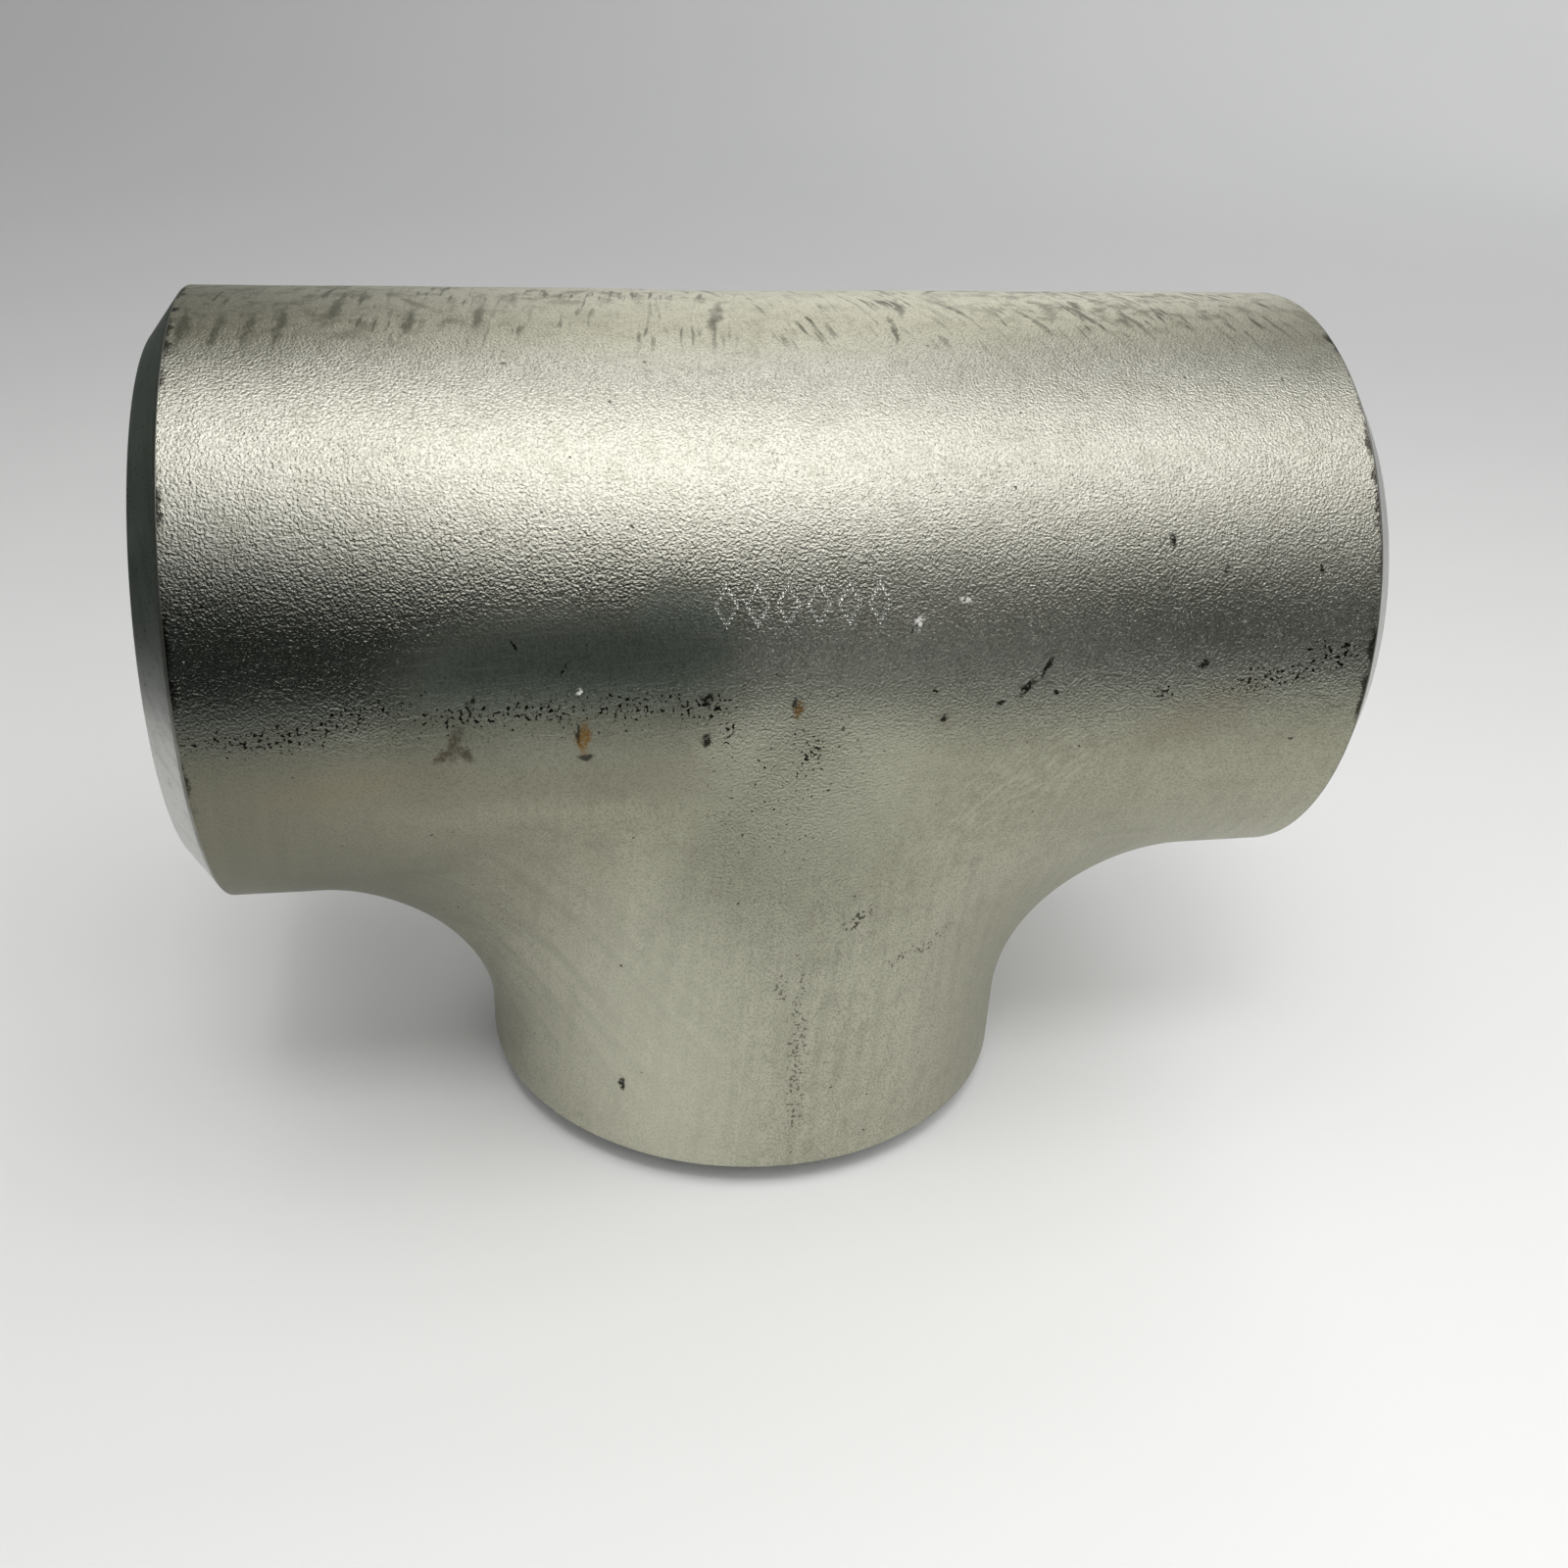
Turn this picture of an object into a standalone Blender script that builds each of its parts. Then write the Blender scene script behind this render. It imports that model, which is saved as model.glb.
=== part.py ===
"""Equal butt-welding pipe tee, DN 80 (NPS 3) with an 80S wall, as one seamless stainless-steel forging.

The tee stands on its branch. +X runs along the run, +Y across it and +Z up the branch's axis. The origin is
the centre of the branch's weld end, on the surface that the tee stands on. Lengths are in metres.

Model one quarter of the tee, open at the planes x = 0 and y = 0, and mirror it twice.
"""

import math

import bmesh
import bpy
from mathutils import Vector

# Driving dimensions
OUTER_RADIUS = 0.08890 / 2  # outside diameter of DN 80 pipe, the same on all three ends
WALL = 0.00762  # wall of schedule 80S pipe
CENTRE_TO_END = 0.08570  # from the crossing of the axes to each weld end
LAND = 0.0016  # flat root face left at each weld end
BEVEL_ANGLE = math.radians(37.5)  # weld bevel, measured from the end's plane
CROTCH_ALONG_RUN = 0.0360  # half-axis of the elliptical crotch blend, along the run
CROTCH_ALONG_BRANCH = 0.0310  # the same, along the branch

# Derived sizes
BORE_RADIUS = OUTER_RADIUS - WALL
ROOT_RADIUS = BORE_RADIUS + LAND
BEVEL_LENGTH = (OUTER_RADIUS - ROOT_RADIUS) * math.tan(BEVEL_ANGLE)
RUN_AXIS_HEIGHT = CENTRE_TO_END

# Mesh fineness
QUARTER_TURN_STEPS = 24  # facets in a quarter of each round end
HALF_FAN_STEPS = 8  # rays from each side of the crotch fan to its middle ray

MERGE_DISTANCE = 0.00001
STEEL_COLOUR = (0.56, 0.55, 0.52, 1.0)


def remove_everything():
    for item in list(bpy.data.objects):
        bpy.data.objects.remove(item, do_unlink=True)


def stainless_steel():
    material = bpy.data.materials.new("stainless_steel")
    material.use_nodes = True
    shader = material.node_tree.nodes["Principled BSDF"]
    shader.inputs["Base Color"].default_value = STEEL_COLOUR
    shader.inputs["Metallic"].default_value = 1.0
    shader.inputs["Roughness"].default_value = 0.42
    return material


class Skin:
    """One skin of the tee, outer or inner: two equal cylinders that cross, with a blended crotch between them.

    Every section across the tee at one y has the same outline: a level line under the run, a quarter of an
    ellipse, and an upright line down the branch. It shrinks about the crossing of the axes, from full size
    at y = 0 to nothing at the side of the tee. Depth is measured down from the run's axis.
    """

    def __init__(self, radius):
        self.radius = radius
        self.fan_x = radius + CROTCH_ALONG_RUN
        self.fan_depth = radius + CROTCH_ALONG_BRANCH

    def section_scale(self, y):
        return math.sqrt(max(0.0, 1.0 - (y / self.radius) ** 2))

    def fan_rays(self):
        """Directions that spread from the middle of the crotch's curve, from straight up to straight in."""
        middle = math.atan2(self.fan_x, self.fan_depth)
        first = [middle * step / HALF_FAN_STEPS for step in range(HALF_FAN_STEPS)]
        rest = math.pi / 2 - middle
        second = [middle + rest * step / HALF_FAN_STEPS for step in range(HALF_FAN_STEPS + 1)]
        return first + second

    def blend_point(self, ray, y):
        """Where a fan ray meets the section at y, as a point on the skin."""
        scale = self.section_scale(y)
        inward, upward = math.sin(ray), math.cos(ray)
        line = scale * self.radius
        if upward > 1e-9:
            x = self.fan_x - (self.fan_depth - line) * inward / upward
            if x >= scale * self.fan_x:
                return Vector((x, y, RUN_AXIS_HEIGHT - line))
        if inward > 1e-9:
            depth = self.fan_depth - (self.fan_x - line) * upward / inward
            if depth >= scale * self.fan_depth:
                return Vector((line, y, RUN_AXIS_HEIGHT - depth))
        half_x, half_depth = scale * CROTCH_ALONG_RUN, scale * CROTCH_ALONG_BRANCH
        from_x = self.fan_x * (1.0 - scale) / half_x
        from_depth = self.fan_depth * (1.0 - scale) / half_depth
        step_x, step_depth = inward / half_x, upward / half_depth
        a = step_x**2 + step_depth**2
        b = from_x * step_x + from_depth * step_depth
        c = from_x**2 + from_depth**2 - 1.0
        distance = (b + math.sqrt(max(0.0, b * b - a * c))) / a
        x = self.fan_x - distance * inward
        depth = self.fan_depth - distance * upward
        return Vector((x, y, RUN_AXIS_HEIGHT - depth))

    def run_arc(self, x, first, last):
        """Points round the run at x, between two angles in quarter-turn steps, counted from its bottom."""
        turns = [math.pi / 2 * step / QUARTER_TURN_STEPS for step in range(first, last + 1)]
        return [
            Vector((x, self.radius * math.sin(turn), RUN_AXIS_HEIGHT - self.radius * math.cos(turn)))
            for turn in turns
        ]

    def branch_arc(self, z):
        turns = [math.pi / 2 * step / QUARTER_TURN_STEPS for step in range(QUARTER_TURN_STEPS + 1)]
        return [Vector((self.radius * math.cos(turn), self.radius * math.sin(turn), z)) for turn in turns]

    def lower_rows(self, run_end, branch_end):
        """Rows from the run's end to the branch's end, each from y = 0 out to the side of the tee."""
        across = [
            self.radius * math.sin(math.pi / 2 * step / QUARTER_TURN_STEPS)
            for step in range(QUARTER_TURN_STEPS + 1)
        ]
        rows = [self.run_arc(run_end, 0, QUARTER_TURN_STEPS)]
        rows += [[self.blend_point(ray, y) for y in across] for ray in self.fan_rays()]
        rows.append(self.branch_arc(branch_end))
        return rows

    def upper_rows(self, run_end):
        """Rows round the top half of the run, from its end to the plane x = 0."""
        side = [self.blend_point(ray, self.radius).x for ray in self.fan_rays()[: HALF_FAN_STEPS + 1]]
        return [self.run_arc(x, QUARTER_TURN_STEPS, 2 * QUARTER_TURN_STEPS) for x in [run_end, *side]]


def add_rows(mesh, rows, flip):
    """Quads between neighbouring rows of points."""
    grid = [[mesh.verts.new(point) for point in row] for row in rows]
    for row, following in zip(grid, grid[1:]):
        for i in range(len(row) - 1):
            corners = [row[i], row[i + 1], following[i + 1], following[i]]
            mesh.faces.new(corners[::-1] if flip else corners)


def weld_end_rows(ring_of):
    """Rows of the machined end: the bevel's outer edge, its root, and the bore's edge."""
    return [
        ring_of(OUTER_RADIUS, CENTRE_TO_END - BEVEL_LENGTH),
        ring_of(ROOT_RADIUS, CENTRE_TO_END),
        ring_of(BORE_RADIUS, CENTRE_TO_END),
    ]


def quarter_mesh():
    mesh = bmesh.new()
    outer, inner = Skin(OUTER_RADIUS), Skin(BORE_RADIUS)
    bevel_x = CENTRE_TO_END - BEVEL_LENGTH
    add_rows(mesh, outer.lower_rows(bevel_x, BEVEL_LENGTH), flip=True)
    add_rows(mesh, outer.upper_rows(bevel_x), flip=True)
    add_rows(mesh, inner.lower_rows(CENTRE_TO_END, 0.0), flip=False)
    add_rows(mesh, inner.upper_rows(CENTRE_TO_END), flip=False)
    half_turn = 2 * QUARTER_TURN_STEPS
    add_rows(mesh, weld_end_rows(lambda r, along: Skin(r).run_arc(along, 0, half_turn)), flip=False)
    add_rows(mesh, weld_end_rows(lambda r, along: Skin(r).branch_arc(CENTRE_TO_END - along)), flip=True)
    bmesh.ops.remove_doubles(mesh, verts=mesh.verts, dist=MERGE_DISTANCE)
    return mesh


def make_tee_body(material, collection):
    mesh = quarter_mesh()
    data = bpy.data.meshes.new("tee_body")
    mesh.to_mesh(data)
    mesh.free()
    data.materials.append(material)
    tee = bpy.data.objects.new("tee_body", data)
    collection.objects.link(tee)
    mirror = tee.modifiers.new("both_halves", "MIRROR")
    mirror.use_axis = (True, True, False)
    mirror.use_clip = True
    mirror.merge_threshold = MERGE_DISTANCE
    data.shade_smooth()
    data.set_sharp_from_angle(angle=math.radians(30))
    return tee


def main():
    remove_everything()
    collection = bpy.data.collections.new("tee_fitting")
    bpy.context.scene.collection.children.link(collection)
    make_tee_body(stainless_steel(), collection)


main()
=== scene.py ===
"""Looks of an equal butt-welding pipe tee: its fine surface, its stainless steel, and the studio around it.

The tee is one forging, so it is one piece. Its surface is made again here from the CAD solid's own sizes, on
a mesh fine enough for the forging's unevenness and for the rounded edges that the lathe leaves on each weld
end.
Lengths are in metres. +X runs along the run, -Y faces the camera and +Z goes up the branch's axis.
"""

import math

import bmesh
import bpy
import numpy as np
from mathutils import Matrix, Vector, noise


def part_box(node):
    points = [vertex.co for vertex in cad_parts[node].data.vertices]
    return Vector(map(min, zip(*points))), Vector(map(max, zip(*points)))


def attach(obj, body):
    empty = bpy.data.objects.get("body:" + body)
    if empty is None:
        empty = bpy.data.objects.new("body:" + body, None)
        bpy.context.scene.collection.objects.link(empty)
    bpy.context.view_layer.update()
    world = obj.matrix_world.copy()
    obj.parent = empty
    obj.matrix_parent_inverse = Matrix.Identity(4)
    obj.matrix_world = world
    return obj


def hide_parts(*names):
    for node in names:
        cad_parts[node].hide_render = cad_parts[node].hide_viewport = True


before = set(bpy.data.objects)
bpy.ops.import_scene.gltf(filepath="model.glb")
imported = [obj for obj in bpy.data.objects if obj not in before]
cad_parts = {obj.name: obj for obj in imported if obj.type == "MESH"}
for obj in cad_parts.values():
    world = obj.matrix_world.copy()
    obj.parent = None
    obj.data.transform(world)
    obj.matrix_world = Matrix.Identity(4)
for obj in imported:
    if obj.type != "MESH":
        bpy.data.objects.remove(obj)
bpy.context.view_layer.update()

MM = 0.001
NODE = "tee_body"

# Sizes read from the CAD solid
node_low, node_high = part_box(NODE)
OUTER_RADIUS = (node_high.y - node_low.y) / 2
CENTRE_TO_END = node_high.x
AXIS_HEIGHT = node_high.z - OUTER_RADIUS


def end_face_radii():
    """Least and greatest distance from the run's axis to the solid's points on its end plane."""
    points = [v.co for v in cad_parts[NODE].data.vertices]
    on_end = [p for p in points if abs(p.x - CENTRE_TO_END) < 1e-6]
    radii = [math.hypot(p.y, p.z - AXIS_HEIGHT) for p in on_end]
    return min(radii), max(radii)


BORE_RADIUS, ROOT_RADIUS = end_face_radii()
BEVEL_ANGLE = math.radians(37.5)
BEVEL_LENGTH = (OUTER_RADIUS - ROOT_RADIUS) * math.tan(BEVEL_ANGLE)

# The elliptical blend in the crotch
CROTCH_ALONG_RUN = 36 * MM
CROTCH_ALONG_BRANCH = 31 * MM

# Small radii that turning and handling leave on the weld ends
SHOULDER_ROUNDING = 0.35 * MM
ROOT_ROUNDING = 0.25 * MM
BORE_ROUNDING = 0.30 * MM

# Mesh fineness
QUARTER_TURN_STEPS = 56
OUTER_HALF_FAN = 58
INNER_HALF_FAN = 26
ROUNDING_STEPS = 4
BEVEL_STEPS = 4
FLOOR_CURVE_STEPS = 48
MERGE_DISTANCE = 1e-6

# The surface's zones, as material slots of the one mesh
SKIN, MACHINED, BORE = 0, 1, 2

# Moves the unevenness's noise to a stretch of its own
NOISE_OFFSET = Vector((3.1, 7.7, 1.9))


# ---------------------------------------------------------------- shape


def section_scale(radius, y):
    return np.sqrt(np.clip(1.0 - (y / radius) ** 2, 0.0, 1.0))


def fan_rays(radius, half_steps):
    """Directions spread from the middle of the crotch's curve, from straight up to straight in."""
    middle = math.atan2(radius + CROTCH_ALONG_RUN, radius + CROTCH_ALONG_BRANCH)
    first = np.linspace(0.0, middle, half_steps + 1)
    return np.concatenate([first, np.linspace(middle, math.pi / 2, half_steps + 1)[1:]])


def blend_row(radius, ray, y):
    """Points where a fan ray meets the section at each y.

    A section is a level line, a quarter of an ellipse and an upright line.
    """
    fan_x, fan_depth = radius + CROTCH_ALONG_RUN, radius + CROTCH_ALONG_BRANCH
    scale = section_scale(radius, y)
    line = scale * radius
    inward, upward = math.sin(ray), math.cos(ray)
    half_x = np.maximum(scale * CROTCH_ALONG_RUN, 1e-12)
    half_depth = np.maximum(scale * CROTCH_ALONG_BRANCH, 1e-12)
    from_x, from_depth = fan_x * (1.0 - scale) / half_x, fan_depth * (1.0 - scale) / half_depth
    step_x, step_depth = inward / half_x, upward / half_depth
    a = step_x**2 + step_depth**2
    b = from_x * step_x + from_depth * step_depth
    c = from_x**2 + from_depth**2 - 1.0
    distance = (b + np.sqrt(np.maximum(0.0, b * b - a * c))) / a
    x, depth = fan_x - distance * inward, fan_depth - distance * upward
    if upward > 1e-9:
        level_x = fan_x - (fan_depth - line) * inward / upward
        on_level = level_x >= scale * fan_x
        x, depth = np.where(on_level, level_x, x), np.where(on_level, line, depth)
    if inward > 1e-9:
        upright_depth = fan_depth - (fan_x - line) * upward / inward
        on_upright = upright_depth >= scale * fan_depth
        if upward > 1e-9:
            on_upright &= ~on_level
        x, depth = np.where(on_upright, line, x), np.where(on_upright, upright_depth, depth)
    return np.stack([x, y, AXIS_HEIGHT - depth], axis=1)


def turns(first, last):
    return np.arange(first, last + 1) * (math.pi / 2 / QUARTER_TURN_STEPS)


def run_arc(radius, x, first=0, last=2 * QUARTER_TURN_STEPS):
    """Points round the run at x, counted in steps from its bottom."""
    turn = turns(first, last)
    level = np.full_like(turn, x)
    return np.stack([level, radius * np.sin(turn), AXIS_HEIGHT - radius * np.cos(turn)], axis=1)


def branch_arc(radius, z):
    turn = turns(0, QUARTER_TURN_STEPS)
    return np.stack([radius * np.cos(turn), radius * np.sin(turn), np.full_like(turn, z)], axis=1)


def rounded_corner(before, corner, after, rounding):
    """Points along an arc that replaces a corner of a profile of (radius, distance along the arm)."""
    into, out = Vector(before) - Vector(corner), Vector(after) - Vector(corner)
    into.normalize()
    out.normalize()
    half_angle = into.angle(out) / 2
    centre = Vector(corner) + (into + out).normalized() * (rounding / math.sin(half_angle))
    start = (Vector(corner) + into * (rounding / math.tan(half_angle)) - centre).normalized()
    end = (Vector(corner) + out * (rounding / math.tan(half_angle)) - centre).normalized()
    shares = [step / ROUNDING_STEPS for step in range(ROUNDING_STEPS + 1)]
    return [tuple(centre + start.slerp(end, share) * rounding) for share in shares]


def weld_end_profile():
    """The turned end from the outer skin round to the bore: shoulder, bevel, land and bore edge."""
    shoulder = (OUTER_RADIUS, CENTRE_TO_END - BEVEL_LENGTH)
    root = (ROOT_RADIUS, CENTRE_TO_END)
    edge = (BORE_RADIUS, CENTRE_TO_END)
    outside = (OUTER_RADIUS, shoulder[1] - 10 * MM)
    inside = (BORE_RADIUS, CENTRE_TO_END - 10 * MM)
    first = rounded_corner(outside, shoulder, root, SHOULDER_ROUNDING)
    second = rounded_corner(shoulder, root, edge, ROOT_ROUNDING)
    third = rounded_corner(root, edge, inside, BORE_ROUNDING)
    shares = [step / BEVEL_STEPS for step in range(1, BEVEL_STEPS)]
    between = [tuple(Vector(first[-1]).lerp(Vector(second[0]), share)) for share in shares]
    return first + between + second + third


def add_rows(mesh, rows, flip, zone):
    """Quads between neighbouring rows of points."""
    grid = [[mesh.verts.new(point) for point in row] for row in rows]
    for row, following in zip(grid, grid[1:]):
        for i in range(len(row) - 1):
            corners = [row[i], row[i + 1], following[i + 1], following[i]]
            mesh.faces.new(corners[::-1] if flip else corners).material_index = zone


def add_skin(mesh, radius, half_fan, end, flip, zone):
    """One skin of a quarter of the tee, outer or inner, up to a distance along each arm."""
    y = radius * np.sin(turns(0, QUARTER_TURN_STEPS))
    rays = fan_rays(radius, half_fan)
    lower = [run_arc(radius, end, last=QUARTER_TURN_STEPS)]
    lower += [blend_row(radius, ray, y) for ray in rays]
    lower.append(branch_arc(radius, AXIS_HEIGHT - end))
    side = [blend_row(radius, ray, y)[-1][0] for ray in rays[: half_fan + 1]]
    upper = [run_arc(radius, x, first=QUARTER_TURN_STEPS) for x in [end, *side]]
    add_rows(mesh, lower, flip, zone)
    add_rows(mesh, upper, flip, zone)


def quarter_mesh():
    mesh = bmesh.new()
    profile = weld_end_profile()
    add_skin(mesh, OUTER_RADIUS, OUTER_HALF_FAN, profile[0][1], True, SKIN)
    add_skin(mesh, BORE_RADIUS, INNER_HALF_FAN, profile[-1][1], False, BORE)
    add_rows(mesh, [run_arc(radius, along) for radius, along in profile], False, MACHINED)
    branch_rows = [branch_arc(radius, AXIS_HEIGHT - along) for radius, along in profile]
    add_rows(mesh, branch_rows, True, MACHINED)
    bmesh.ops.remove_doubles(mesh, verts=mesh.verts, dist=MERGE_DISTANCE)
    return mesh


def unevenness(point):
    """How far the forged skin stands off its true shape at a point, in waves and a sunken crown."""
    height = 0.0
    for wave_height, waves_per_metre in ((0.13 * MM, 32), (0.05 * MM, 90), (0.012 * MM, 260)):
        height += wave_height * noise.noise(point * waves_per_metre + NOISE_OFFSET)
    across = math.atan2(point.y, point.z - AXIS_HEIGHT) / math.radians(38)
    along = (point.x + 6 * MM) / (17 * MM)
    sunken_crown = 0.42 * MM * math.exp(-(along**2) - across**2)
    return height - sunken_crown


def add_unevenness(mesh):
    """Moves the forged skin along its normals. It fades out before the turned ends, which stay true."""
    fade_length = 12 * MM
    for vertex in mesh.verts:
        if any(face.material_index != SKIN for face in vertex.link_faces):
            continue
        point = vertex.co
        to_run_end = CENTRE_TO_END - BEVEL_LENGTH - abs(point.x)
        nearest = min(to_run_end, point.z - BEVEL_LENGTH)
        fade = min(1.0, max(0.0, nearest / fade_length))
        vertex.co = point + vertex.normal * (unevenness(point) * fade * fade * (3 - 2 * fade))


def make_tee(materials):
    mesh = quarter_mesh()
    for plane in ((1, 0, 0), (0, 1, 0)):
        half = mesh.verts[:] + mesh.edges[:] + mesh.faces[:]
        copy = bmesh.ops.duplicate(mesh, geom=half)["geom"]
        verts = [item for item in copy if isinstance(item, bmesh.types.BMVert)]
        faces = [item for item in copy if isinstance(item, bmesh.types.BMFace)]
        mirror = Matrix.Scale(-1, 4, Vector(plane))
        bmesh.ops.transform(mesh, matrix=mirror, verts=verts)
        bmesh.ops.reverse_faces(mesh, faces=faces)
        bmesh.ops.remove_doubles(mesh, verts=mesh.verts, dist=MERGE_DISTANCE)
    mesh.normal_update()
    add_unevenness(mesh)
    data = bpy.data.meshes.new("tee")
    mesh.to_mesh(data)
    mesh.free()
    for material in materials:
        data.materials.append(material)
    data.shade_smooth()
    tee = bpy.data.objects.new("tee", data)
    bpy.context.scene.collection.objects.link(tee)
    return tee


# ---------------------------------------------------------------- materials


class Graph:
    """Short ways to build a shader from nodes. A value is a number or another node's output."""

    def __init__(self, name):
        self.material = bpy.data.materials.new(name)
        self.material.use_nodes = True
        self.tree = self.material.node_tree
        self.shader = self.tree.nodes["Principled BSDF"]
        self.position = self.node("ShaderNodeTexCoord").outputs["Object"]
        parts = self.node("ShaderNodeSeparateXYZ", {"Vector": self.position})
        self.x, self.y, self.z = parts.outputs
        self.up = self.minus(self.z, AXIS_HEIGHT)

    def node(self, kind, inputs=None, **settings):
        made = self.tree.nodes.new(kind)
        for name, value in settings.items():
            setattr(made, name, value)
        for key, value in (inputs or {}).items():
            self.connect(made.inputs[key], value)
        return made

    def connect(self, socket, value):
        if isinstance(value, bpy.types.NodeSocket):
            self.tree.links.new(value, socket)
        else:
            socket.default_value = value

    def math(self, operation, *values):
        return self.node("ShaderNodeMath", dict(enumerate(values)), operation=operation).outputs[0]

    def add(self, *values):
        return self.chain("ADD", values)

    def times(self, *values):
        return self.chain("MULTIPLY", values)

    def most(self, *values):
        return self.chain("MAXIMUM", values)

    def chain(self, operation, values):
        result = values[0]
        for value in values[1:]:
            result = self.math(operation, result, value)
        return result

    def minus(self, a, b):
        return self.math("SUBTRACT", a, b)

    def vector_math(self, operation, *values):
        return self.node("ShaderNodeVectorMath", dict(enumerate(values)), operation=operation)

    def root_of_squares(self, a, b):
        return self.math("SQRT", self.add(self.times(a, a), self.times(b, b)))

    def ramp(self, value, start, end, low=0.0, high=1.0):
        """Eases from low to high as value goes from start to end."""
        names = ("Value", "From Min", "From Max", "To Min", "To Max")
        inputs = dict(zip(names, (value, start, end, low, high)))
        return self.node("ShaderNodeMapRange", inputs, interpolation_type="SMOOTHSTEP").outputs["Result"]

    def between(self, value, low, high, softness):
        """1 from low to high, easing to 0 over the softness outside them."""
        rising = self.ramp(value, low - softness, low)
        return self.times(rising, self.ramp(value, high + softness, high))

    def vector(self, x, y, z):
        return self.node("ShaderNodeCombineXYZ", {0: x, 1: y, 2: z}).outputs[0]

    def noise(self, size, detail=2.0, where=None, roughness=0.5):
        """Noise between 0 and 1 whose cells are size metres across."""
        inputs = {
            "Vector": self.position if where is None else where,
            "Scale": 1.0 / size,
            "Detail": detail,
            "Roughness": roughness,
        }
        return self.node("ShaderNodeTexNoise", inputs).outputs["Fac"]

    def mix(self, share, a, b):
        made = self.node("ShaderNodeMix", data_type="RGBA")
        inputs = {"Factor": share, "A": a, "B": b}
        for socket in made.inputs:
            if socket.enabled and socket.name in inputs:
                self.connect(socket, inputs[socket.name])
        return next(socket for socket in made.outputs if socket.enabled)

    def blend(self, share, a, b):
        """Number a where share is 0, b where it is 1."""
        return self.add(self.times(a, self.minus(1.0, share)), self.times(b, share))

    def bump(self, height, distance, normal=None):
        inputs = {"Height": height, "Distance": distance, "Strength": 1.0}
        if normal is not None:
            inputs["Normal"] = normal
        return self.node("ShaderNodeBump", inputs).outputs["Normal"]

    def finish(self, colour, roughness, normal, metallic=1.0):
        self.connect(self.shader.inputs["Base Color"], colour)
        self.connect(self.shader.inputs["Roughness"], roughness)
        self.connect(self.shader.inputs["Normal"], normal)
        self.connect(self.shader.inputs["Metallic"], metallic)
        return self.material


class Skin(Graph):
    """A graph for the forged skin, with marks placed on it as if it were unrolled.

    A place is (x, rise) in millimetres. x goes along the run. rise starts at the axis's level and goes up
    the arc to the crown, and straight down below that level. The back has the same rise as the front. A lap
    is a rise that goes on over the crown and down the back, for marks that cross the crown or that only the
    front has.
    """

    def __init__(self, name):
        super().__init__(name)
        above = self.math("GREATER_THAN", self.up, 0.0)
        frontward = self.times(self.y, -1.0)
        self.lap = self.blend(above, self.up, self.arc(frontward))
        self.rise = self.blend(above, self.up, self.arc(self.math("ABSOLUTE", self.y)))
        behind = self.ramp(self.y, 20 * MM, 36 * MM)
        ragged_x = self.add(self.x, self.shake((0.3, 0.1, 0.2)))
        ragged_rise = self.add(self.rise, self.shake((0.0, 0.0, 0.0)))
        self.unrolled = self.vector(ragged_x, ragged_rise, behind)
        self.colour = grey(0.5)
        self.roughness = 0.4
        self.dents = []

    def arc(self, outward):
        """Arc length round the run from its axis's level."""
        return self.times(self.math("ARCTAN2", self.up, outward), OUTER_RADIUS)

    def shake(self, offset):
        """Fine noise that makes a mark's outline ragged. The offset gives each direction its own."""
        where = self.vector_math("ADD", self.position, offset).outputs["Vector"]
        return self.times(self.minus(self.noise(2.2 * MM, 3.0, where, 0.65), 0.5), 2.4 * MM)

    def spot(self, x, rise, half_x, half_rise, lean=0.0, softness=0.4):
        """1 inside an ellipse, easing to 0 outside it. A lean turns its upright axis right, in degrees.

        It is made of vector maths: with a Mapping node in every spot, Cycles runs out of room for this many
        spots in one shader, and the skin comes out black.
        """
        centre = (x * MM, rise * MM, 0.0)
        half_size = (half_x * MM, half_rise * MM, 0.1)
        place = self.unrolled
        if lean:
            turn = {"Vector": place, "Center": centre, "Angle": math.radians(lean)}
            place = self.node("ShaderNodeVectorRotate", turn, rotation_type="Z_AXIS").outputs["Vector"]
        place = self.vector_math("SUBTRACT", place, centre).outputs["Vector"]
        place = self.vector_math("DIVIDE", place, half_size).outputs["Vector"]
        reach = self.vector_math("LENGTH", place).outputs["Value"]
        return self.ramp(reach, 1.0 + softness, 1.0 - softness)

    def spots(self, places, softness=0.4):
        share = self.spot(*places[0], softness=softness)
        for place in places[1:]:
            share = self.most(share, self.spot(*place, softness=softness))
        return share

    def streaks(self, across, along, lean, detail=2.0):
        """Noise drawn out up the skin, leaning to the right by a number of degrees."""
        inputs = {
            "Vector": self.vector(self.x, self.lap, 0.0),
            "Rotation": (0.0, 0.0, math.radians(-lean)),
            "Scale": (across * MM, along * MM, 1.0),
        }
        where = self.node("ShaderNodeMapping", inputs, vector_type="TEXTURE").outputs[0]
        return self.noise(1.0, detail, where)

    def lay(self, share, colour, roughness=None, dent=0.0):
        """Lays a mark over the skin: its colour, its roughness and how deep it is."""
        self.colour = self.mix(share, self.colour, colour)
        if roughness is not None:
            self.roughness = self.blend(share, self.roughness, roughness)
        if dent:
            self.dents.append(self.times(share, -dent))


def grey(value, warmth=0.0):
    """An RGBA colour, warmer as blue falls behind red."""
    return (value, value * (1 - 0.08 * warmth), value * (1 - warmth), 1.0)


BLACK_SCALE = (0.016, 0.013, 0.010, 1.0)
BROWN_DIRT = (0.075, 0.055, 0.036, 1.0)
# A dark warm grey used to paint shade on the skin.
PAINTED_SHADE_STEEL = grey(0.17, 0.26)
RUST = (0.25, 0.13, 0.03, 1.0)


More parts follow.
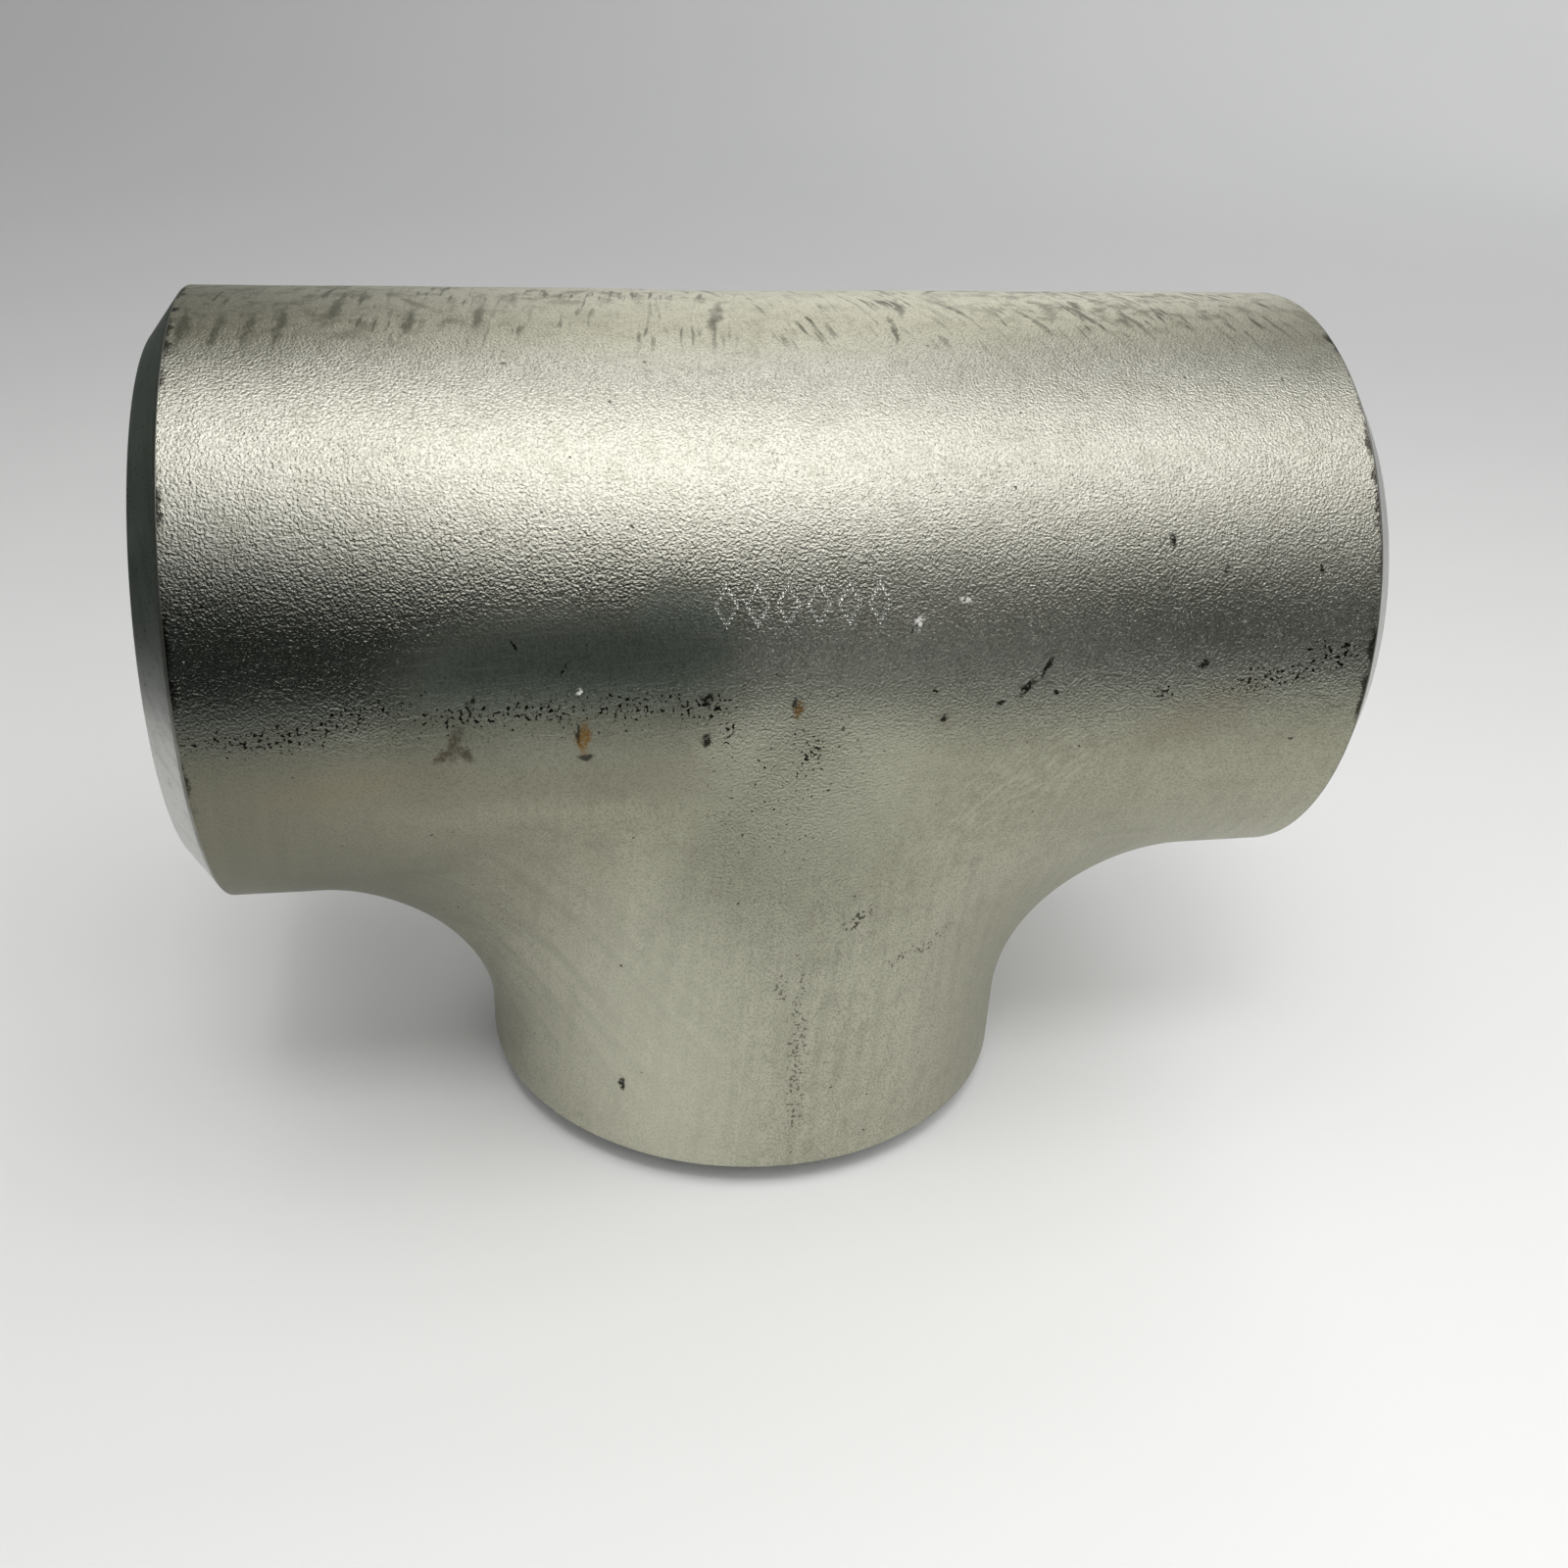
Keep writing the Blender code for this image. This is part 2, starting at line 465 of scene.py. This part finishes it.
def peel_share(g, drift):
    """Where the skin has its coarse orange peel: all over the upper run, and further down in its middle."""
    left = g.ramp(g.x, -26 * MM, -10 * MM)
    right = g.ramp(g.x, 18 * MM, 56 * MM)
    lowest = g.add(-4 * MM, g.times(left, -27 * MM), g.times(right, 23 * MM))
    height = g.add(g.minus(g.up, lowest), g.times(g.minus(drift, 0.5), 12 * MM))
    return g.times(g.ramp(height, -13 * MM, 13 * MM), g.ramp(g.up, -34 * MM, 8 * MM, 0.6, 1.0))


def lay_tone(g, cloud, mottle, grain, crown, peel, patch):
    """The steel's own tone: warm and dull below and on the crown, clean and pale where the peel glints, with
    painted light down the branch and painted shade and reflection towards the left.
    """
    low_tone = g.mix(cloud, grey(0.36, 0.27), grey(0.44, 0.22))
    lit_branch_tone = g.mix(cloud, grey(0.47, 0.23), grey(0.57, 0.19))
    high_tone = g.mix(cloud, grey(0.44, 0.13), grey(0.52, 0.10))
    # Down the branch the tone is painted paler towards its foot: painted light from the bright floor it
    # mirrors.
    g.colour = g.mix(g.ramp(g.up, -15 * MM, -45 * MM), low_tone, lit_branch_tone)
    clean = g.times(peel, g.ramp(g.up, -9 * MM, 6 * MM))
    g.colour = g.mix(clean, g.colour, high_tone)
    g.roughness = g.blend(clean, 0.44, g.ramp(g.x, -18 * MM, 34 * MM, 0.25, 0.36))
    # Painted shade towards the run's left end; above the axis's level it turns to a painted dark greenish
    # reflection.
    painted_shade_left_end = g.times(g.ramp(g.x, -30 * MM, -78 * MM), g.ramp(g.up, 38 * MM, 13 * MM))
    painted_shade_and_reflection_tone = g.mix(g.ramp(g.up, -8 * MM, 4 * MM), PAINTED_SHADE_STEEL, (0.14, 0.148, 0.14, 1.0))
    g.lay(g.times(painted_shade_left_end, 0.80), painted_shade_and_reflection_tone)
    # Painted shade in a band round the axis's level, left of the middle.
    painted_shade_band = g.times(
        g.between(g.rise, -11 * MM, 1 * MM, 6 * MM),
        g.between(g.x, -50 * MM, -18 * MM, 12 * MM),
    )
    g.lay(g.times(painted_shade_band, 0.40), PAINTED_SHADE_STEEL)
    g.lay(crown, g.mix(cloud, grey(0.36, 0.24), grey(0.46, 0.20)), 0.44)
    # Painted shade: the crown darkens towards the left end.
    painted_shade_top_left = g.times(g.ramp(g.x, 0.0, -70 * MM), g.ramp(g.rise, 46 * MM, 64 * MM))
    g.lay(g.times(painted_shade_top_left, 0.5), grey(0.15, 0.25))
    brushed = g.streaks(0.35, 2.2, 2, 3.0)
    patch_tone = g.mix(brushed, (0.27, 0.30, 0.27, 1.0), (0.52, 0.56, 0.50, 1.0))
    g.lay(g.times(patch, g.ramp(g.rise, -2 * MM, 6 * MM, 0.15, 1.0)), patch_tone, 0.34)
    hazy = g.spot(14, 6.5, 26, 9, softness=0.7)
    g.roughness = g.blend(hazy, g.roughness, 0.47)
    g.lay(g.ramp(mottle, 0.42, 0.78, 0.0, 0.22), grey(0.20, 0.30))
    g.lay(g.ramp(grain, 0.42, 0.66, 0.0, 0.42), grey(0.14, 0.20))
    g.roughness = g.add(g.roughness, g.times(g.minus(cloud, 0.5), 0.10))


def lay_crown_marks(g, crown, mottle):
    """Scuffs and grime on top, where the tee has rubbed against others in its crate."""
    scuffed = g.ramp(g.noise(9 * MM, 3.0), 0.42, 0.62)
    left_side = g.ramp(g.x, 0.0, -12 * MM)
    for side, lean in ((left_side, 8), (g.minus(1.0, left_side), -15)):
        scuffs = g.ramp(g.streaks(1.0, 7.0, lean, 4.0), 0.53, 0.66)
        g.lay(g.times(scuffs, side, crown, g.ramp(scuffed, 0.0, 1.0, 0.35, 1.0), 0.9), grey(0.09, 0.25), 0.55)
    grime = g.ramp(g.noise(3.5 * MM, 5.0, roughness=0.65), 0.46, 0.66)
    dirty = g.spots(((-64, 62, 26, 13), (-30, 69, 26, 4), (54, 66, 26, 9)), softness=0.7)
    g.lay(g.times(grime, g.most(dirty, 0.25), crown, 0.75), grey(0.12, 0.30), 0.55)
    strokes = (
        (-8.9, 61.8, 0.8, 5.0, 12),
        (-41.5, 60, 0.7, 3.0, 10),
        (-50.5, 58.5, 0.6, 4.0, 14),
        (-60, 63, 0.9, 3.4, 8),
        (-67, 58, 0.6, 5.0, 4),
        (-71, 57, 0.5, 4.0, 3),
        (-74.8, 56, 0.6, 4.5, 5),
        (-79, 57, 0.5, 4.5, 2),
        (18, 65, 0.6, 4.0, 5),
        (15.8, 57, 0.35, 3.5, 5),
        (25.8, 64, 0.4, 4.0, -30),
        (37, 60, 0.4, 4.0, -25),
        (45, 62, 0.5, 5.0, -25),
        (52, 60, 0.5, 4.0, -20),
    )
    broken = g.ramp(mottle, 0.35, 0.55, 0.45, 0.8)
    g.lay(g.times(g.spots(strokes, softness=0.5), broken), grey(0.09, 0.28), 0.5)


def lay_pits(g, speck, mottle):
    """Pits and specks of scale along the die's parting line, on the run's sides and down the branch."""
    clusters = (
        (-72, -1.8, 9, 1.7, 0),
        (-60, 0.8, 8, 1.8, -14),
        (-45, 0.6, 7, 1.5, 0),
        (-36, 0.8, 5, 1.4, 0),
        (-23, 1.4, 7, 2.2, 0),
        (-14, 0.6, 4, 2.2, 0),
        (-11, -3, 1.1, 1.8, 0),
        (0.5, -7, 1.4, 3, 10),
        (66, 1.6, 8, 2.0, -10),
        (50, 0.0, 2.2, 1.2, 0),
        (75, 5.0, 4, 2.0, 0),
        (1, -60, 1.4, 17, 0),
        (-2, -46, 1.2, 2.4, 0),
        (20, -44, 5.5, 0.9, -13),
        (9, -35.5, 0.9, 3.4, 65),
    )
    near = g.times(g.spots(clusters, softness=0.8), g.ramp(mottle, 0.40, 0.58, 0.80, 1.0))
    specks = g.ramp(g.times(speck, g.ramp(near, 0.0, 0.9, 0.80, 1.0)), 0.555, 0.58)
    strong = g.ramp(g.up, -42 * MM, -28 * MM, 0.6, 1.0)
    g.lay(g.times(specks, g.ramp(near, 0.0, 0.1), strong), BLACK_SCALE, dent=0.03 * MM)
    peppered = g.spots(((-3, -9, 11, 15, 0), (-36, 0, 30, 4, 0)), softness=0.6)
    pepper = g.ramp(g.noise(0.55 * MM, 1.0), 0.70, 0.72)
    g.lay(g.times(pepper, peppered), BLACK_SCALE)
    on_back = g.ramp(g.y, 10 * MM, 25 * MM)
    side_line = g.between(g.up, -3 * MM, 2 * MM, 2 * MM)
    branch_line = g.times(g.between(g.x, -1.5 * MM, 1.5 * MM, 1 * MM), g.ramp(g.up, -35 * MM, -45 * MM))
    broken = g.ramp(g.noise(11 * MM, 2.0), 0.50, 0.66)
    specks = g.ramp(speck, 0.54, 0.57)
    g.lay(g.times(specks, g.most(side_line, branch_line), broken, on_back), BLACK_SCALE)
    everywhere = g.ramp(g.noise(1.2 * MM, 1.0), 0.785, 0.81)
    g.lay(g.times(everywhere, 0.8), BLACK_SCALE)


def lay_stains(g, speck):
    """Rust that has bled from two pits, a few brown stains, short black scratches and chalky nicks.

    Returns the nicks' share, because chalk isn't metal.
    """
    uneven = g.ramp(speck, 0.36, 0.54, 0.45, 1.0)
    rust = g.spots(((-30.3, -3.2, 0.8, 2.3, 4), (-1.6, -0.2, 0.5, 1.5, 15)), softness=0.5)
    g.lay(g.times(rust, uneven, 0.9), RUST)
    foot = g.spots(((-30.2, -6.2, 1.0, 0.45, 0), (-31.0, -2.4, 0.22, 1.7, -8), (-2.0, 0.8, 0.4, 0.6, 0)))
    g.lay(g.times(foot, 0.8), BLACK_SCALE)
    star_points = ((-46.9, -3.4, 0.8, 2.4, 14), (-48.4, -5.2, 0.7, 1.5, 45), (-45.6, -5.0, 0.7, 1.5, -35))
    star = g.spots(star_points, softness=0.6)
    g.lay(g.times(star, uneven, 0.75), BROWN_DIRT)
    warm = g.spots(((56, -4, 8, 3.4, -30), (-62, -10, 10, 3, -10), (19, -2.5, 1.2, 1.0, 0)), softness=0.9)
    g.lay(g.times(warm, 0.25), (0.30, 0.24, 0.16, 1.0), 0.5)
    scratches = (
        (-13.8, 1.8, 0.9, 0.8, 0),
        (-13.8, -4.4, 0.6, 1.0, 0),
        (17.0, 1.6, 0.3, 0.3, 0),
        (55.6, 4.3, 0.8, 0.5, 0),
        (30.0, 1.8, 0.5, 1.7, 38),
        (32.6, 4.6, 0.4, 1.5, 30),
        (34.2, 1.0, 0.5, 0.4, 0),
        (26.6, -0.5, 0.35, 0.7, 50),
        (-44.8, 1.6, 0.2, 2.0, 15),
        (-32.4, 6.6, 0.14, 1.1, 35),
        (-33.6, -0.2, 0.2, 1.0, -25),
        (-38.8, 9.6, 0.13, 0.9, -20),
        (14, 10.5, 0.2, 1.1, 40),
        (50, 21.5, 0.5, 0.9, 0),
        (58, 17.5, 0.25, 0.8, 20),
        (72, 17, 0.4, 0.5, 0),
        (-80.6, 62, 0.7, 0.6, 0),
        (18.8, -2.6, 0.5, 0.6, 0),
        (-25, -68, 0.6, 1.2, 0),
    )
    g.lay(g.times(g.spots(scratches), g.ramp(speck, 0.40, 0.48, 0.3, 0.95)), BLACK_SCALE)
    nicks = g.spots(((14.5, 11.0, 0.5, 1.0, 20), (21, 14.2, 0.8, 0.35, 0), (-30.6, 3.6, 0.35, 0.3, 0)))
    chalk = g.times(nicks, g.ramp(speck, 0.42, 0.48))
    g.lay(chalk, grey(0.62, 0.03), 0.6)
    return chalk


def lay_soft_streaks(g, drift):
    """Faint die marks that sweep from the crotch down the branch, and upright ones in the middle, with
    painted light and shade on the branch's sides and below the crotch.
    """
    sweep = g.ramp(g.streaks(2.2, 26, -42, 3.0), 0.40, 0.64)
    swept = g.spot(-36, -44, 13, 26, -42, softness=0.8)
    g.lay(g.times(sweep, swept, 0.34), grey(0.24, 0.26), 0.40)
    upright = g.ramp(g.streaks(1.6, 22, 4, 3.0), 0.42, 0.66)
    below = g.ramp(g.up, 0.0, -14 * MM)
    g.lay(g.times(upright, below, drift, 0.40), grey(0.26, 0.28), 0.42)
    scraped = g.spots(((33, -13, 6, 14, 44), (24, -22, 4, 9, 40)), softness=0.9)
    scrapes = g.ramp(g.streaks(0.9, 3.2, 42, 3.0), 0.42, 0.66)
    g.lay(g.times(scrapes, scraped, 0.26), grey(0.66, 0.20))
    # Painted shade: the run's underside and the crotch are darker left of x = -25 mm.
    painted_shade_left_underside = g.ramp(g.x, -24 * MM, -26.5 * MM)
    g.lay(g.times(painted_shade_left_underside, g.between(g.up, -42 * MM, -22 * MM, 8 * MM), 0.20), grey(0.20, 0.28))
    # Painted light: a pale band down the left of the branch, a painted reflection of brighter surroundings.
    painted_light_side = g.spot(-21, -64, 13, 27, softness=0.95)
    g.lay(g.times(painted_light_side, 0.42), grey(0.76, 0.18))
    # Painted shade on the right of the branch.
    painted_shade_side = g.times(g.ramp(g.x, 16 * MM, 36 * MM), g.ramp(g.up, -30 * MM, -46 * MM))
    g.lay(g.times(painted_shade_side, 0.45), grey(0.30, 0.26))
    # Painted light: a pale spot below the crotch's middle that lifts the dark reflection there.
    g.lay(g.times(g.spot(2, -12, 14, 12, softness=0.9), 0.55), grey(0.66, 0.20))
    lines = g.ramp(g.streaks(0.5, 9, 86, 2.0), 0.58, 0.68)
    rubbed = g.spot(-40, 7, 34, 9, softness=0.7)
    g.lay(g.times(lines, rubbed, 0.35), grey(0.70, 0.05), 0.26)


def lay_edge_dirt(g):
    """Dirt caught in the turned shoulder, at the run's two ends."""
    to_shoulder = g.minus(CENTRE_TO_END - BEVEL_LENGTH, g.math("ABSOLUTE", g.x))
    depth = g.add(to_shoulder, g.times(g.minus(g.noise(2.5 * MM, 4.0, roughness=0.7), 0.5), 4.5 * MM))
    caught = g.ramp(depth, 1.0 * MM, 0.2 * MM)
    caught = g.times(caught, g.ramp(g.noise(9 * MM, 2.0), 0.42, 0.54), g.ramp(g.up, -20 * MM, -5 * MM))
    g.lay(g.times(caught, 0.85), BLACK_SCALE)


def lay_peened_row(g):
    """A row of plain diamonds in peened dots, where such fittings carry their heat number."""
    count, pitch, half_width, half_height = 6, 4.1 * MM, 1.45 * MM, 2.6 * MM
    first_x, middle_lap = -11.4 * MM, 14.3 * MM
    place = g.math("DIVIDE", g.minus(g.x, first_x - pitch / 2), pitch)
    in_cell = g.times(g.minus(g.math("FRACT", place), 0.5), pitch / half_width)
    height = g.times(g.minus(g.lap, middle_lap), 1.0 / half_height)
    falling, rising = g.add(in_cell, height), g.minus(in_cell, height)
    outline = g.most(g.math("ABSOLUTE", falling), g.math("ABSOLUTE", rising))
    on_outline = g.between(outline, 0.84, 1.16, 0.04)
    dots_per_half_side = 2.0
    off = [g.math("PINGPONG", g.times(part, dots_per_half_side), 0.5) for part in (falling, rising)]
    dot = g.ramp(g.root_of_squares(*off), 0.50, 0.30)
    in_row = g.times(g.math("GREATER_THAN", place, 0.0), g.math("LESS_THAN", place, float(count)))
    dot = g.times(dot, on_outline, in_row)
    g.lay(g.times(dot, 0.95), grey(0.95, 0.05), 0.26, dent=0.12 * MM)


def skin_material():
    """The forged outside: pickled and blasted stainless steel with handling marks."""
    g = Skin("forged_skin")
    drift = g.noise(14 * MM, 2.0)
    cloud = g.noise(26 * MM, 4.0)
    mottle = g.noise(3.2 * MM, 3.0)
    grain = g.noise(0.32 * MM, 2.0)
    speck = g.noise(0.6 * MM, 2.0)
    crown = g.ramp(g.rise, 48 * MM, 60 * MM)
    patch = g.spots(((-32, 3.5, 21, 10.5, 0), (-17.5, 10.5, 7.5, 6.5, 0)), softness=0.35)
    worn_top = g.ramp(g.add(g.rise, g.times(g.minus(drift, 0.5), 14 * MM)), 46 * MM, 66 * MM)
    peel = g.times(peel_share(g, drift), g.minus(1.0, patch), g.minus(1.0, g.times(worn_top, 0.85)))

    lay_tone(g, cloud, mottle, grain, crown, peel, patch)
    lay_soft_streaks(g, drift)
    lay_crown_marks(g, crown, mottle)
    lay_peened_row(g)
    lay_pits(g, speck, mottle)
    chalk = lay_stains(g, speck)
    lay_edge_dirt(g)

    relief = g.noise(0.38 * MM, 1.5)
    normal = g.bump(g.times(relief, g.most(peel, 0.22)), 0.13 * MM)
    blasting = g.times(g.noise(0.27 * MM, 1.0), g.ramp(g.x, -22 * MM, -4 * MM, 0.6, 1.0))
    normal = g.bump(blasting, 0.060 * MM, normal)
    normal = g.bump(g.add(*g.dents), 1.0, normal)
    return g.finish(g.colour, g.roughness, normal, metallic=g.minus(1.0, chalk))


def machined_material():
    """The turned bevel and land, with the fine rings of the lathe tool and soft rubbing marks."""
    g = Graph("machined_end")
    cloud = g.noise(12 * MM, 3.0)
    grain = g.noise(0.5 * MM, 2.0)
    colour = g.mix(cloud, grey(0.50, 0.04), grey(0.62, 0.03))
    roughness = g.ramp(cloud, 0.3, 0.7, 0.26, 0.38)
    along_run = g.root_of_squares(g.y, g.up)
    along_branch = g.root_of_squares(g.x, g.y)
    on_branch = g.math("LESS_THAN", g.z, 10 * MM)
    radius = g.blend(on_branch, along_run, along_branch)

    leaning = {"Vector": g.position, "Rotation": (math.radians(35), 0.0, 0.0), "Scale": (1.0, 12.0, 1.2)}
    where = g.node("ShaderNodeMapping", leaning, vector_type="TEXTURE").outputs[0]
    rubbed = g.ramp(g.noise(1.4 * MM, 3.0, where), 0.45, 0.70)
    colour = g.mix(g.times(rubbed, 0.30), colour, grey(0.30, 0.10))
    colour = g.mix(g.ramp(grain, 0.62, 0.74, 0.0, 0.6), colour, grey(0.12, 0.2))
    soiled_rim = g.ramp(radius, OUTER_RADIUS - 0.7 * MM, OUTER_RADIUS - 0.2 * MM)
    soiled_rim = g.times(soiled_rim, g.ramp(cloud, 0.35, 0.60, 0.45, 0.85))
    colour = g.mix(soiled_rim, colour, grey(0.16, 0.16))
    roughness = g.blend(soiled_rim, roughness, 0.5)

    rings = g.math("SINE", g.times(radius, 2 * math.pi / (0.22 * MM)))
    normal = g.bump(rings, 0.0025 * MM)
    normal = g.bump(grain, 0.006 * MM, normal)
    return g.finish(colour, roughness, normal)


def bore_material():
    """The pipe's own inside, pickled, with faint drawing lines and a little loose scale."""
    g = Graph("bore_skin")
    cloud = g.noise(20 * MM, 4.0)
    fine = g.noise(0.5 * MM, 3.0)
    colour = g.mix(cloud, grey(0.36, 0.20), grey(0.50, 0.14))
    colour = g.mix(g.ramp(g.noise(1.2 * MM, 3.0), 0.62, 0.72, 0.0, 0.6), colour, grey(0.10, 0.3))
    roughness = g.ramp(cloud, 0.3, 0.7, 0.36, 0.50)
    normal = g.bump(g.noise(1.2 * MM, 2.0), 0.05 * MM)
    normal = g.bump(fine, 0.012 * MM, normal)
    return g.finish(colour, roughness, normal)


def floor_material():
    g = Graph("pale_floor")
    cloud = g.noise(0.3, 2.0)
    colour = g.mix(cloud, (0.87, 0.885, 0.90, 1.0), (0.91, 0.92, 0.93, 1.0))
    normal = g.bump(g.noise(1.5 * MM, 2.0), 0.02 * MM)
    return g.finish(colour, 0.55, normal, metallic=0.0)


# ---------------------------------------------------------------- studio


def add_plane(name, size_x, size_y, matrix, material):
    mesh = bmesh.new()
    bmesh.ops.create_grid(mesh, x_segments=1, y_segments=1, size=0.5)
    bmesh.ops.scale(mesh, vec=(size_x, size_y, 1.0), verts=mesh.verts)
    data = bpy.data.meshes.new(name)
    mesh.to_mesh(data)
    mesh.free()
    data.materials.append(material)
    plane = bpy.data.objects.new(name, data)
    plane.matrix_world = matrix
    bpy.context.scene.collection.objects.link(plane)
    return plane


def add_floor():
    """A pale sheet that lies flat under the tee and curves up far behind it."""
    half_width, front, bend, curve, top = 6.0, -6.0, 1.1, 1.0, 3.0
    profile = [(front, 0.0)]
    for step in range(FLOOR_CURVE_STEPS + 1):
        angle = math.pi / 2 * step / FLOOR_CURVE_STEPS
        profile.append((bend + curve * math.sin(angle), curve - curve * math.cos(angle)))
    profile.append((bend + curve, top))
    rows = [[(-half_width, y, z), (half_width, y, z)] for y, z in profile]
    mesh = bmesh.new()
    add_rows(mesh, rows, False, 0)
    data = bpy.data.meshes.new("floor")
    mesh.to_mesh(data)
    mesh.free()
    data.materials.append(floor_material())
    data.shade_smooth()
    floor = bpy.data.objects.new("floor", data)
    bpy.context.scene.collection.objects.link(floor)


def add_board(name, centre, turn, size, tint, tones, across=False):
    """An upright board that only the steel's reflections see.

    It glows from one tone to the other, and its edges fade. The tones go up the board, or along it if across
    is true, and each is (place from the middle, strength).
    """
    g = Graph(name)
    (start, low), (end, high) = tones
    strength = g.ramp(g.x if across else g.y, start, end, low, high)
    g.connect(g.shader.inputs["Base Color"], (0.0, 0.0, 0.0, 1.0))
    g.connect(g.shader.inputs["Roughness"], 1.0)
    g.connect(g.shader.inputs["Emission Color"], tint)
    g.connect(g.shader.inputs["Emission Strength"], strength)
    fade = 0.16 * min(size)
    inside = []
    for along, length in ((g.x, size[0]), (g.y, size[1])):
        inside.append(g.between(along, fade - length / 2, length / 2 - fade, fade))
    g.connect(g.shader.inputs["Alpha"], g.times(*inside))
    upright = Matrix.Rotation(math.radians(90), 4, "X")
    place = Matrix.Translation(centre) @ Matrix.Rotation(math.radians(turn), 4, "Z") @ upright
    board = add_plane(name, *size, place, g.material)
    board.visible_camera = False
    board.visible_diffuse = False
    board.visible_shadow = False


def add_light(name, place, turn, size, radiance, colour):
    """A rectangular light that shines straight down, with the radiance asked for whatever its size."""
    data = bpy.data.lights.new(name, "AREA")
    data.shape = "RECTANGLE"
    data.size, data.size_y = size
    data.energy = radiance * math.pi * size[0] * size[1]
    data.color = colour
    light = bpy.data.objects.new(name, data)
    light.rotation_euler = (0.0, 0.0, math.radians(turn))
    light.location = place
    light.visible_camera = False
    bpy.context.scene.collection.objects.link(light)
    return light


def add_world(strength):
    """An even, pale room."""
    world = bpy.data.worlds.new("studio")
    world.use_nodes = True
    bpy.context.scene.world = world
    background = world.node_tree.nodes["Background"]
    background.inputs["Color"].default_value = (1.0, 0.99, 0.96, 1.0)
    background.inputs["Strength"].default_value = strength


def add_camera():
    """The camera stands in front of the tee, a little to its left, and looks down on it."""
    data = bpy.data.cameras.new("camera")
    data.sensor_width = 36.0
    data.lens = 36.09
    data.clip_start = 0.01
    camera = bpy.data.objects.new("camera", data)
    place = Vector((-40.47, -229.37, 178.40)) * MM
    yaw, pitch, roll = math.radians(11.42), math.radians(28.92), math.radians(2.85)
    level = Matrix.Rotation(-yaw, 4, "Z") @ Matrix.Rotation(math.pi / 2 - pitch, 4, "X")
    camera.matrix_world = Matrix.Translation(place) @ level @ Matrix.Rotation(roll, 4, "Z")
    bpy.context.scene.collection.objects.link(camera)
    bpy.context.scene.camera = camera


add_camera()
tee = make_tee([skin_material(), machined_material(), bore_material()])
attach(tee, "root")
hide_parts(NODE)

add_floor()

# What the steel mirrors: two dark boards, low in front and at the left, and a pale one high behind
greenish = (0.80, 1.0, 0.86, 1.0)
add_board("dark_front", (0.0, -0.17, 0.080), 0, (1.5, 0.20), greenish, ((-0.085, 0.34), (-0.035, 0.03)))
add_board("dark_left", (-0.18, 0.12, 0.165), 90, (1.0, 0.30), greenish, ((-0.12, 0.04), (0.06, 0.07)))
pale_tint = (1.0, 0.99, 0.95, 1.0)
pale_tones = ((-0.10, 0.2), (0.10, 1.8))
add_board("pale_back", (-0.065, 0.26, 0.59), 0, (0.66, 0.94), pale_tint, pale_tones, across=True)

# Two soft lights that make the run's broad gleam, and two that the steel doesn't mirror
warm_white, white = (1.0, 0.985, 0.95), (1.0, 0.995, 0.98)
add_light("soft_box", (0.10, -0.18, 0.66), -8, (0.90, 0.56), 1.05, warm_white)
add_light("lamp", (0.12, -0.47, 0.62), -8, (0.72, 0.85), 1.25, warm_white)
backdrop_light = add_light("backdrop_light", (1.5, 1.3, 1.5), 0, (2.4, 1.4), 1.2, white)
backdrop_light.visible_glossy = False
key_light = add_light("key_light", (-0.06, -0.42, 0.82), 0, (0.20, 0.20), 11.0, white)
key_light.visible_glossy = False
add_world(0.25)
bpy.context.scene.view_settings.view_transform = "Standard"
